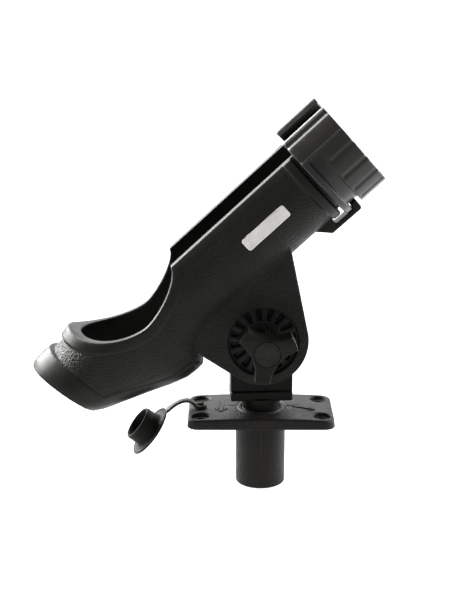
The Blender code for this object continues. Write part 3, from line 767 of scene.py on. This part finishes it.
def build_holder_body():
    rear = np.arange(SKIN[0][0], SKIRT_S - 3, 0.8)
    middle = np.arange(rear[-1] + 0.5, 0.0, 0.5)
    stations = np.concatenate((rear, middle, np.arange(0.5, 93.0, 1.5), [93.0]))
    body = grid_solid("holder_body_fine", skin_rings(SKIN, stations, 320, raised_bands))
    centre = (0.0, AXIS_U)
    fuse(
        body,
        collar(),
        cylinder("neck", NECK_R, COLLAR_REAR + 1, NECK_END, "X", centre, 160, 0.8),
        prism("knuckle", knuckle_outline(), -CHEEK_OUT, CHEEK_OUT, "Y", 1.2),
        prism("hook", hook_outline(), -HOOK_HALF, HOOK_HALF, "Y", 0.7),
    )
    inner = np.concatenate((np.arange(-140.0, -20.0, 2.0), [-20.0, 0.0, 60.0, 140.0]))
    outline = scoop_line() + [(SCOOP_END - 3, AXIS_U + 45), (NECK_END + 10, AXIS_U + 45)]
    gap = [(-35.0, GAP_TOP), (-35.0, 18.0), (-55.0, -41.0), (70.0, -41.0), (70.0, GAP_TOP)]
    reach = CHEEK_OUT + 1
    pocket = rounded_rectangle(BADGE_LENGTH + 0.6, BADGE_HEIGHT + 0.6, BADGE_CORNER + 0.3)
    pocket = [(s + BADGE_S, u + AXIS_U + BADGE_U) for s, u in pocket]
    cut(
        body,
        grid_solid("hollow", skin_rings(HOLLOW, inner, 160)),
        prism("scoop", outline, -60, 60, "Y"),
        prism("tongue_gap", gap, -CHEEK_IN, CHEEK_IN, "Y"),
        cylinder("knob_recess", RECESS_R, -30, -RECESS_FLOOR, "Y"),
        cylinder("cheek_hole", BOLT_HOLE_R, -reach, reach, "Y", segments=48),
        prism("hex_pocket", arc((0.0, 0.0), HEX_POCKET_R, 0.0, math.tau * 5 / 6, 5), HEX_SEAT, 30.0, "Y"),
        prism("badge_pocket", pocket, -50, -BADGE_BACK + 0.3, "Y"),
        *detent_slots(),
    )
    remeshed(body, BODY_VOXEL, 3)
    soften(body, rounding_weights(vertex_array(body)), 110)
    thinned(body, 0.36)
    points = vertex_array(body)
    set_attribute(body, "grained", grain_mask(points))
    smooth_shaded(body)
    return body


def grain_mask(points):
    """1 where the outer skin and cheeks are leather-grained, 0 on smooth rims, bands, collar and inside."""
    s, y, u = points.T
    up = u - AXIS_U
    fade = np.clip((REAR_FADES_TO - s) / (REAR_FADES_TO - REAR_FADES_FROM), 0.0, 1.0)
    from_rim = distance_to_line(s, u, scoop_line())
    mask = ramp(from_rim - band_width(s), 0.0, 0.8)
    station = s + REAR_LEAN * fade * up - REAR_BOW * fade * fade * np.clip(np.abs(y) / 32.0, 0, 1) ** 2
    mask = mask * ramp(station - SKIRT_S, 0.2, 1.1)
    degrees = np.degrees(np.arctan2(up, np.abs(y)))
    keel = np.interp(s, [row[0] for row in KEEL], [row[1] for row in KEEL])
    mask = mask * np.where(s < -46.0, ramp(degrees - keel, 0.0, 2.0), 1.0)
    mask = mask * (1 - ramp(s, COLLAR_REAR - 1.5, COLLAR_REAR - 0.5))
    half, top, depth = (eased(HOLLOW, column, s) for column in (1, 2, 3))
    inside = (np.hypot(y / half, up / np.where(up > 0, top, depth)) < 1.04) & (u > AXIS_U - depth)
    recess = (np.hypot(s, u) < RECESS_R + 0.6) & (y < 0)
    edge = np.hypot(s, u) > LOBE_R - 1.5
    mask = np.where(inside | recess, 0.0, mask)
    return np.where(edge & (u < 8.0), 0.0, mask)


# ---- lock ring

RING_R = 39.1
RING_BORE_R = 32.5
RING_REAR = 99.9
RING_FRONT = 135.3
TRACK_R = 34.6
TRACK_REAR = 104.8
TRACK_FRONT = 113.4
TRACK_FROM = math.radians(17.5)
TRACK_TO = math.radians(-111.5)
RING_GAP = math.radians(36.3)
FLUTE_PITCH = math.radians(20.0)
FLUTE_START = math.radians(3.5)
FLUTE_DEPTH = 0.95
FLUTE_HALF = math.radians(4.2)
GAP_ROUND = 3.4


def ring_section(count=5):
    """Outline of the ring's wall as (station, radius) points: front edge, outside, rear edge, bore."""
    outer = []
    edge = 1.4
    for centre, start in ((RING_FRONT - edge, 0.0), (RING_REAR + edge, math.pi / 2)):
        for index in range(count + 1):
            angle = start + math.pi / 2 * index / count
            outer.append((centre + edge * math.cos(angle), RING_R - edge + edge * math.sin(angle)))
    inner = [(RING_REAR + 0.5, RING_BORE_R), (RING_FRONT - 0.5, RING_BORE_R)]
    flats = []
    for index in range(1, 36):
        share = index / 36
        flats.append((RING_FRONT - edge + (RING_REAR - RING_FRONT + 2 * edge) * share, RING_R))
    return outer[: count + 1] + flats + outer[count + 1 :] + inner


def build_locking_ring():
    first = math.pi / 2 + RING_GAP
    sweep = 2 * math.pi - 2 * RING_GAP
    ends = GAP_ROUND / RING_R
    angles = [first + ends * (1 - math.cos(math.pi / 2 * k / 8)) for k in range(8)]
    count = 420
    angles += [first + ends + (sweep - 2 * ends) * k / count for k in range(count + 1)]
    angles += [first + sweep - ends * (1 - math.cos(math.pi / 2 * k / 8)) for k in range(7, -1, -1)]
    section = ring_section()
    rings = []
    for angle in angles:
        from_end = min(angle - first, first + sweep - angle) * RING_R
        inset = max(0.0, GAP_ROUND - from_end)
        drop = GAP_ROUND - math.sqrt(max(0.0, GAP_ROUND**2 - inset**2))
        phase = (angle - FLUTE_START) / FLUTE_PITCH
        off = abs(phase - round(phase)) * FLUTE_PITCH
        scallop = FLUTE_DEPTH * (0.5 + 0.5 * math.cos(math.pi * min(1.0, off / FLUTE_HALF)))
        scallop *= float(ramp(from_end, 4.0, 7.0))
        near = (angle + math.pi / 2) % (2 * math.pi) - math.pi / 2
        over_track = TRACK_TO < near < TRACK_FROM or near > 2 * math.pi + TRACK_TO
        ring = []
        for station, radius in section:
            fluted = ramp(station, TRACK_FRONT + 0.5, TRACK_FRONT + 2.5) if over_track else 1.0
            outside = radius > RING_BORE_R + 0.1
            r = radius - (float(fluted) * scallop + drop if outside else 0.0)
            ring.append((station, -r * math.cos(angle), AXIS_U + r * math.sin(angle)))
        rings.append(ring)
    ring = grid_solid("locking_ring_fine", rings)
    start = math.pi - TRACK_FROM
    end = math.pi - TRACK_TO
    sector = arc((0.0, 0.0), TRACK_R, start, end, 90) + arc((0.0, 0.0), RING_R + 4, end, start, 90)
    sector = [(y, u + AXIS_U) for y, u in sector]
    cut(ring, prism("track", sector, TRACK_REAR, TRACK_FRONT, "X"))
    remeshed(ring, RING_VOXEL, 3)
    thinned(ring, 0.6)
    smooth_shaded(ring)
    return ring


# ---- knob, insert, washer, bolt and badge

KNOB_TIP_R = 20.6
KNOB_TIP_HALF = math.radians(14.5)
KNOB_WAIST_R = 10.2
KNOB_TURN = math.radians(21.0)
KNOB_REAR = 18.8
KNOB_NECK = 34.0
KNOB_FACE = 48.8
KNOB_HUB_R = 10.6
KNOB_RIBS = 30
HUB_CIRCLE_R = 8.9
INSERT_R = 6.3
BOLT_R = 4.0
HEX_R = 7.5


def arc_through(first, middle, last, count):
    """Points from first to last on the circle that also passes through middle."""
    (ax, ay), (bx, by), (cx, cy) = first, middle, last
    d = 2 * (ax * (by - cy) + bx * (cy - ay) + cx * (ay - by))
    aa, bb, cc = ax * ax + ay * ay, bx * bx + by * by, cx * cx + cy * cy
    centre = (
        (aa * (by - cy) + bb * (cy - ay) + cc * (ay - by)) / d,
        (aa * (cx - bx) + bb * (ax - cx) + cc * (bx - ax)) / d,
    )
    radius = math.hypot(ax - centre[0], ay - centre[1])
    start = math.atan2(ay - centre[1], ax - centre[0])
    sweep = math.atan2(cy - centre[1], cx - centre[0]) - start
    sweep = (sweep + math.pi) % (2 * math.pi) - math.pi
    return arc(centre, radius, start, start + sweep, count)


def knob_outline():
    """Three lobes with slightly rounded corners and hollow waists between them."""
    points = []
    for lobe in range(3):
        angle = KNOB_TURN + lobe * 2 * math.pi / 3
        onward = angle + 2 * math.pi / 3
        tip = arc((0.0, 0.0), KNOB_TIP_R, angle - KNOB_TIP_HALF, angle + KNOB_TIP_HALF, 10)
        waist = (KNOB_WAIST_R * math.cos(angle + math.pi / 3), KNOB_WAIST_R * math.sin(angle + math.pi / 3))
        start = onward - KNOB_TIP_HALF
        reach = (KNOB_TIP_R * math.cos(start), KNOB_TIP_R * math.sin(start))
        points += tip + arc_through(tip[-1], waist, reach, 28)[1:-1]
    return points


def build_clamp_knob():
    knob = prism("clamp_knob_fine", knob_outline(), -KNOB_FACE, -KNOB_NECK, "Y", 0.9, 4)
    ribs = []
    for index in range(KNOB_RIBS * 4):
        angle = math.tau * index / (KNOB_RIBS * 4)
        radius = KNOB_HUB_R if index % 4 in (0, 1) else KNOB_HUB_R - 0.7
        ribs.append((radius * math.cos(angle), radius * math.sin(angle)))
    hub = prism("hub", ribs, -KNOB_NECK - 2.0, -KNOB_REAR, "Y", 0.25, 1)
    section = [
        (HUB_CIRCLE_R + 0.3, KNOB_FACE + 1.0),
        (HUB_CIRCLE_R + 0.3, KNOB_FACE - 0.05),
        (HUB_CIRCLE_R, KNOB_FACE - 0.35),
        (HUB_CIRCLE_R - 0.3, KNOB_FACE - 0.05),
        (HUB_CIRCLE_R - 0.3, KNOB_FACE + 1.0),
    ]
    seat = turned("hub_circle", section, "Y", 96)
    fuse(knob, hub)
    cut(
        knob,
        seat,
        cylinder("insert_bore", 6.6, -32.3, 0.0, "Y", segments=64),
        cylinder("bolt_room", BOLT_HOLE_R, -42.0, -30.0, "Y", segments=48),
    )
    return smooth_shaded(knob, 32)


def build_small_metal():
    insert_profile = [(BOLT_HOLE_R, 32.0), (5.9, 32.0), (INSERT_R, 31.6)]
    for index in range(6):
        at = 30.6 - index * 1.9
        insert_profile += [(INSERT_R, at), (5.95, at - 0.35), (5.95, at - 0.75), (INSERT_R, at - 1.1)]
    insert_profile += [(INSERT_R, KNOB_REAR + 0.7), (5.9, KNOB_REAR + 0.3), (BOLT_HOLE_R, KNOB_REAR + 0.3)]
    insert = turned("knob_insert_fine", insert_profile, "Y", 64)
    washer_rear, washer_front = RECESS_FLOOR + 0.3, KNOB_REAR - 0.3
    washer = turned(
        "clamp_washer_fine",
        [
            (4.5, washer_front),
            (9.0, washer_front),
            (9.4, washer_front - 0.25),
            (9.5, washer_front - 0.7),
            (9.5, washer_rear + 0.3),
            (9.3, washer_rear),
            (4.5, washer_rear),
        ],
        "Y",
        72,
    )
    shank = [(0.0, 40.0), (2.9, 40.0), (3.6, 39.2)]
    pitch = 1.25
    turns = 16
    for index in range(turns):
        at = 38.8 - index * pitch
        shank += [(BOLT_R, at), (BOLT_R, at - 0.2), (3.55, at - 0.65), (3.55, at - 0.8)]
    shank += [(BOLT_R, 38.8 - turns * pitch), (BOLT_R, -HEX_SEAT - 2.0), (0.0, -HEX_SEAT - 2.0)]
    bolt = turned("tilt_bolt_fine", shank, "Y", 48)
    corners = arc((0.0, 0.0), HEX_R, 0.0, math.tau * 5 / 6, 5)
    head = prism("bolt_head", corners, HEX_SEAT + 0.3, CHEEK_OUT - 0.3, "Y")
    chamfer = [
        (0.0, -HEX_SEAT + 1),
        (HEX_R + 0.1, -HEX_SEAT + 1),
        (HEX_R + 0.1, -CHEEK_OUT + 1.2),
        (HEX_R - 1.2, -CHEEK_OUT + 0.3),
        (0.0, -CHEEK_OUT + 0.3),
    ]
    round_off = turned("head_chamfer", chamfer, "Y", 72)
    combine(head, "INTERSECT", round_off)
    fuse(bolt, head)
    for piece in (insert, washer, bolt):
        smooth_shaded(piece, 30)
    return insert, washer, bolt


def build_badge():
    """Blank satin plate: a rounded rim around a field sunk by a quarter of a millimetre."""
    outline = rounded_rectangle(BADGE_LENGTH, BADGE_HEIGHT, BADGE_CORNER)
    plate = prism("badge_plate_fine", outline, -BADGE_FACE, -BADGE_BACK, "Y", 0.3, 3)
    field = rounded_rectangle(BADGE_LENGTH - 2.2, BADGE_HEIGHT - 2.2, BADGE_CORNER - 0.7)
    cut(plate, prism("badge_field", field, -BADGE_FACE - 1, -BADGE_FACE + 0.25, "Y"))
    plate.data.transform(Matrix.Translation((BADGE_S, 0.0, AXIS_U + BADGE_U)))
    return smooth_shaded(plate, 35)


# ---- deck mount and post

PLATE_LENGTH = 101.6
PLATE_WIDTH = 53.4
PLATE_MID = 7.8
PLATE_END = 6.2
PLATE_CORNER = 7.0
PLATE_FLARE = 0.5
SCREW_X = 42.1
SCREW_Y = 16.9
SCREW_SEAT_Z = 4.2
TETHER_X = -42.4
SOCKET_TOP_R = 17.5
SOCKET_END_R = 17.4
SOCKET_DEPTH = 48.2
SOCKET_BORE_R = 13.8


def plate_ring(inset, height, follow, count=12):
    """One ring of the plate: inset from its plan, lying at a height or so far under the crowned top."""
    length, width = PLATE_LENGTH - 2 * inset, PLATE_WIDTH - 2 * inset
    corner = max(0.6, PLATE_CORNER - inset)
    outline = rounded_rectangle(length, width, corner, count)
    points = []
    for index, first in enumerate(outline):
        last = outline[(index + 1) % len(outline)]
        pieces = 16 if (index + 1) % (count + 1) == 0 else 1
        for piece in range(pieces):
            share = piece / pieces
            points.append(tuple(a + (b - a) * share for a, b in zip(first, last)))
    half = PLATE_LENGTH / 2
    ring = []
    for x, y in points:
        crown = PLATE_MID - (PLATE_MID - PLATE_END) * (x / half) ** 2
        ring.append((x, y, crown - height if follow else height))
    return ring


def build_deck_mount():
    rings = [plate_ring(-PLATE_FLARE + 0.5, 0.0, False), plate_ring(-PLATE_FLARE, 0.4, False)]
    rings.append(plate_ring(0.0, 2.2, True))
    edge = 1.6
    for index in range(1, 7):
        angle = math.pi / 2 * index / 6
        rings.append(plate_ring(edge * (1 - math.cos(angle)), edge * (1 - math.sin(angle)), True))
    for inset in (3.0, 6.0, 11.0, 16.0, 21.0, 25.5):
        rings.append(plate_ring(inset, 0.0, True))
    plate = grid_solid("deck_mount_fine", rings)
    tube = [
        (0.0, 8.4),
        (15.0, 8.4),
        (15.6, 8.25),
        (16.0, 7.8),
        (16.2, 7.0),
        (17.2, 3.0),
        (SOCKET_TOP_R, -1.0),
        (SOCKET_END_R, -SOCKET_DEPTH + 1.4),
    ]
    tube += arc((SOCKET_END_R - 1.4, -SOCKET_DEPTH + 1.4), 1.4, 0.0, -math.pi / 2, 5)[1:]
    tube.append((0.0, -SOCKET_DEPTH))
    fuse(plate, turned("socket_tube", tube, "Z", 128))
    bore = [
        (0.0, 12.0),
        (14.6, 12.0),
        (14.5, 8.5),
        (SOCKET_BORE_R, 7.8),
        (SOCKET_BORE_R, -SOCKET_DEPTH + 0.6),
        (14.3, -SOCKET_DEPTH - 0.1),
        (14.3, -SOCKET_DEPTH - 1.8),
        (0.0, -SOCKET_DEPTH - 1.8),
    ]
    groove = arc((17.1, 8.2), 1.15, -math.pi, 0.0, 10)
    cut(plate, turned("socket_bore", bore, "Z", 128), turned("rim_groove", groove, "Z", 128))
    for side_x in (-1, 1):
        for side_y in (-1, 1):
            top = PLATE_MID - (PLATE_MID - PLATE_END) * (SCREW_X / (PLATE_LENGTH / 2)) ** 2
            hole = [
                (0.0, 11.0),
                (6.9, 11.0),
                (6.9, top + 0.1),
                (6.5, top - 0.35),
                (6.2, top - 0.9),
                (6.0, SCREW_SEAT_Z + 0.3),
                (5.7, SCREW_SEAT_Z),
                (3.3, SCREW_SEAT_Z - 0.1),
                (3.0, SCREW_SEAT_Z - 0.5),
                (3.0, -1.0),
                (0.0, -1.0),
            ]
            cut(plate, turned("screw_hole", hole, "Z", 56, (side_x * SCREW_X, side_y * SCREW_Y)))
    tether = [(0.0, 11.0), (2.0, 11.0), (2.0, 3.0), (3.6, 3.0), (3.6, -1.0), (0.0, -1.0)]
    cut(plate, turned("tether_hole", tether, "Z", 40, (TETHER_X, 0.0)))
    fuse(plate, *plate_marks())
    return smooth_shaded(plate, 28)


def bar(name, first, last, width, low, high):
    """A raised bar between two points in plan."""
    run = Vector(last) - Vector(first)
    side = Vector((-run.y, run.x)).normalized() * width / 2
    a, b = Vector(first), Vector(last)
    outline = [tuple(a + side), tuple(a - side), tuple(b - side), tuple(b + side)]
    return prism(name, outline, low, high, "Z", 0.12, 1)


def plate_marks():
    """Generic moulded marks: a direction arrow on the left and a plain index bar on the right."""
    low, high = 6.6, 7.85
    marks = [
        bar("mark", (-29.6, 11.0), (-29.6, -4.2), 0.9, low, high),
        bar("mark", (-26.4, 11.0), (-26.4, -4.2), 0.9, low, high),
        bar("mark", (-32.2, -3.8), (-28.0, -9.6), 0.9, low, high),
        bar("mark", (-28.0, -9.6), (-23.8, -3.8), 0.9, low, high),
        bar("mark", (22.4, 0.0), (37.6, -5.4), 0.8, low - 0.3, high - 0.05),
        bar("mark", (37.6, -5.4), (34.8, -1.6), 0.8, low - 0.3, high - 0.2),
        bar("mark", (37.6, -5.4), (33.2, -6.6), 0.8, low - 0.3, high - 0.2),
    ]
    return marks


POST_R = 13.4
POST_END_Z = -44.0
BLOCK_Z = 15.4
LIP_Z = 22.0
LIP_HALF = 11.2
TONGUE_HALF_X = 21.6
TONGUE_HALF_Y = 9.1
PIVOT_Z = PIVOT.z / MM


def build_swivel_post():
    dome = arc((0.0, PIVOT_Z), TONGUE_HALF_X, 0.0, math.pi, 64)
    outline = dome + [(-TONGUE_HALF_X, BLOCK_Z + 1), (TONGUE_HALF_X, BLOCK_Z + 1)]
    post = prism("swivel_post_fine", outline, -TONGUE_HALF_Y, TONGUE_HALF_Y, "Y", 0.9, 4)
    lip = prism(
        "block_lip", rounded_rectangle(2 * TONGUE_HALF_X, 2 * LIP_HALF, 1.6, 6), BLOCK_Z, LIP_Z, "Z", 0.8, 4
    )
    shaft = [(0.0, BLOCK_Z + 1), (POST_R, BLOCK_Z + 1), (POST_R, 9.6), (POST_R - 0.5, 9.2)]
    shaft += [(POST_R - 0.5, 8.0), (POST_R, 7.6)]
    for index in range(4):
        at = -4.0 - index * 9.5
        shaft += [(POST_R, at), (POST_R - 0.8, at - 0.8), (POST_R - 0.8, at - 3.2), (POST_R, at - 4.0)]
    shaft += [(POST_R, POST_END_Z + 1.2), (POST_R - 1.2, POST_END_Z), (0.0, POST_END_Z)]
    fuse(post, lip, turned("shaft", shaft, "Z", 128))
    cut(post, cylinder("tongue_hole", BOLT_HOLE_R, -12.0, 12.0, "Y", (0.0, PIVOT_Z), 48))
    return smooth_shaded(post, 30)


# ---- cap, strap and button

CAP_CENTRE = Vector((-78.0, 0.0, -11.3))
CAP_AXIS = Vector((-0.785, -0.10, 0.615)).normalized()
CAP_FLANGE_R = 19.2
CAP_PLUG_R = 12.6
CAP_MOUTH_R = 12.0
CAP_DEPTH = 12.0


def build_cap():
    rim = arc((CAP_FLANGE_R - 0.8, 0.5), 0.8, math.pi * 0.75, -math.pi / 2, 8)
    profile = [
        (CAP_MOUTH_R - 1.5, CAP_DEPTH - 0.5),
        (CAP_MOUTH_R - 1.1, CAP_DEPTH),
        (CAP_MOUTH_R - 0.5, CAP_DEPTH),
        (CAP_MOUTH_R, CAP_DEPTH - 0.5),
        (CAP_MOUTH_R + 0.4, CAP_DEPTH - 2.0),
        (CAP_MOUTH_R + 0.3, CAP_DEPTH - 3.6),
        (CAP_PLUG_R, 2.4),
        (CAP_PLUG_R + 0.4, 1.4),
        (CAP_PLUG_R + 1.2, 0.7),
        (CAP_FLANGE_R - 2.2, 0.6),
    ]
    profile += rim
    profile += [
        (CAP_FLANGE_R - 3.0, -1.2),
        (CAP_PLUG_R - 1.0, -2.2),
        (CAP_PLUG_R - 5.0, -2.8),
        (0.0, -3.0),
        (0.0, -0.8),
        (CAP_PLUG_R - 4.0, -0.7),
        (CAP_PLUG_R - 2.6, -0.1),
        (CAP_PLUG_R - 2.2, 1.2),
    ]
    cap = turned("cap_plug_fine", profile)
    turn = CAP_AXIS.to_track_quat("Z", "Y").to_matrix().to_4x4()
    cap.data.transform(Matrix.Translation(CAP_CENTRE) @ turn)
    return smooth_shaded(cap, 40)


STRAP_THICK = 2.0


def strap_line(count=48):
    """Centre line of the strap in side view, from the eye at the button to the cap's flange."""
    start = Vector((TETHER_X - 3.4, 8.1))
    rise = Vector((-52.0, 17.4))
    end = Vector((-66.2, 4.2))
    points = [Vector((TETHER_X + 4.4 - 7.8 * k / 8, 8.1)) for k in range(8)]
    for index in range(count + 1):
        t = index / count
        points.append(start * (1 - t) ** 2 + rise * 2 * t * (1 - t) + end * t * t)
    return points


def build_strap():
    """Flat rubber strap, round at its eye, waisted, and widening into the flange; its edges are rounded."""
    line = strap_line()
    rings = []
    for index, point in enumerate(line):
        before = line[max(0, index - 1)]
        after = line[min(len(line) - 1, index + 1)]
        along = (after - before).normalized()
        normal = Vector((along.y, -along.x))
        share = index / (len(line) - 1)
        eye = max(0.0, 4.5**2 - (point.x - TETHER_X) ** 2) if point.x > TETHER_X - 4.5 else 0.0
        half = max(math.sqrt(eye), 2.7 + 1.1 * float(ramp(share, 0.75, 1.0))) if index else 1.2
        thick = STRAP_THICK / 2 if index else STRAP_THICK / 2 - 0.3
        outline = rounded_rectangle(2 * half, 2 * thick, min(0.6, thick * 0.9), 4)
        ring = []
        for across, deep in outline:
            ring.append((point.x + normal.x * deep, across, point.y + normal.y * deep))
        rings.append(ring)
    strap = grid_solid("cap_strap_fine", rings)
    cut(strap, turned("eye", [(0.0, 12.0), (1.9, 12.0), (1.9, 5.0), (0.0, 5.0)], "Z", 40, (TETHER_X, 0.0)))
    return smooth_shaded(strap, 40)


def build_button():
    head = arc((1.5, 9.5), 1.2, 0.0, math.pi / 2, 4)
    stem = [(1.7, 9.4), (1.6, 9.2), (1.6, 2.9), (2.9, 2.5), (2.4, 0.6), (0.0, 0.4)]
    profile = [(0.0, 10.7)] + head[::-1] + stem
    return smooth_shaded(turned("cap_button_fine", profile, "Z", 40, (TETHER_X, 0.0)), 40)


# ---- assembly

build_camera()
build_studio()

# Each moulded look gets a painted highlight on its proud edges; the last keyword of ring and knob sets how
# strong it is.
body_look = moulded(
    "look_body", (0.0098, 0.0101, 0.0088), 0.36, grain=1.3, grain_scale=760.0, masked=True, specular=0.10
)
ring_look = moulded("look_ring", (0.0108, 0.0098, 0.0086), 0.34, specular=0.38, painted_highlight_strength=0.15)
plate_look = moulded("look_plate", (0.0092, 0.0084, 0.0076), 0.44, 0.8, 900.0, specular=0.12)
# The post is coloured darker than the other black mouldings: painted shade for the shadow it sits in under
# the knuckle.
post_shaded_look = moulded("look_post_painted_shade", (0.0040, 0.0042, 0.0034), 0.42, specular=0.08)
knob_look = moulded("look_knob", (0.0062, 0.0065, 0.0054), 0.30, specular=0.09, painted_highlight_strength=1.0)
cap_look = moulded("look_cap", (0.0050, 0.0050, 0.0040), 0.55, 0.35, 1400.0, specular=0.10)
strap_look = moulded("look_strap", (0.0160, 0.0150, 0.0135), 0.50, 0.3, 1400.0, specular=0.2)
badge_look = metal("look_badge", (0.80, 0.77, 0.76), 0.40, (1.0, 1.0, 14.0), 0.3)
steel_look = metal("look_steel", (0.34, 0.34, 0.35), 0.38)
brass_look = metal("look_brass", (0.70, 0.50, 0.21), 0.30)

holder_piece, ring_piece = build_holder_body(), build_locking_ring()
badge_piece, knob_piece = build_badge(), build_clamp_knob()
insert_piece, washer_piece, bolt_piece = build_small_metal()
# piece, its name, its frame, the body it rides on, the node it replaces, its slot and its material
PIECES = (
    (holder_piece, "holder_body_skin", HOLDER, "holder", "holder_body", "moulded_black", body_look),
    (ring_piece, "locking_ring_fluted", HOLDER, "ring", "locking_ring", "ring_black", ring_look),
    (badge_piece, "badge_plate_blank", HOLDER, "holder", "badge_plate", "badge_silver", badge_look),
    (knob_piece, "clamp_knob_lobed", KNOB, "knob", "clamp_knob", "knob_black", knob_look),
    (insert_piece, "knob_insert_turned", KNOB, "knob", "knob_insert", "insert_brass", brass_look),
    (washer_piece, "clamp_washer_stamped", KNOB, "washer", "clamp_washer", "washer_steel", steel_look),
    (bolt_piece, "tilt_bolt_threaded", HOLDER, "holder", "tilt_bolt", "bolt_steel", steel_look),
    (build_deck_mount(), "deck_mount_moulded", ROW, "mount", "deck_mount", "plate_black", plate_look),
    (build_swivel_post(), "swivel_post_moulded", POST, "post", "swivel_post", "post_black", post_shaded_look),
    (build_button(), "cap_button_domed", ROW, "tether", "cap_button", "button_rubber", cap_look),
    (build_cap(), "cap_plug_moulded", ROW, "cap", "cap_plug", "cap_rubber", cap_look),
)
for piece in PIECES:
    finished(*piece)


def finish_strap():
    strap = tidy_name(build_strap(), "cap_strap_bent")
    strap.data.transform(ROW)
    strap.data.materials.clear()
    strap.data.materials.append(strap_look)
    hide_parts("cap_strap")
    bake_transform(strap)


finish_strap()
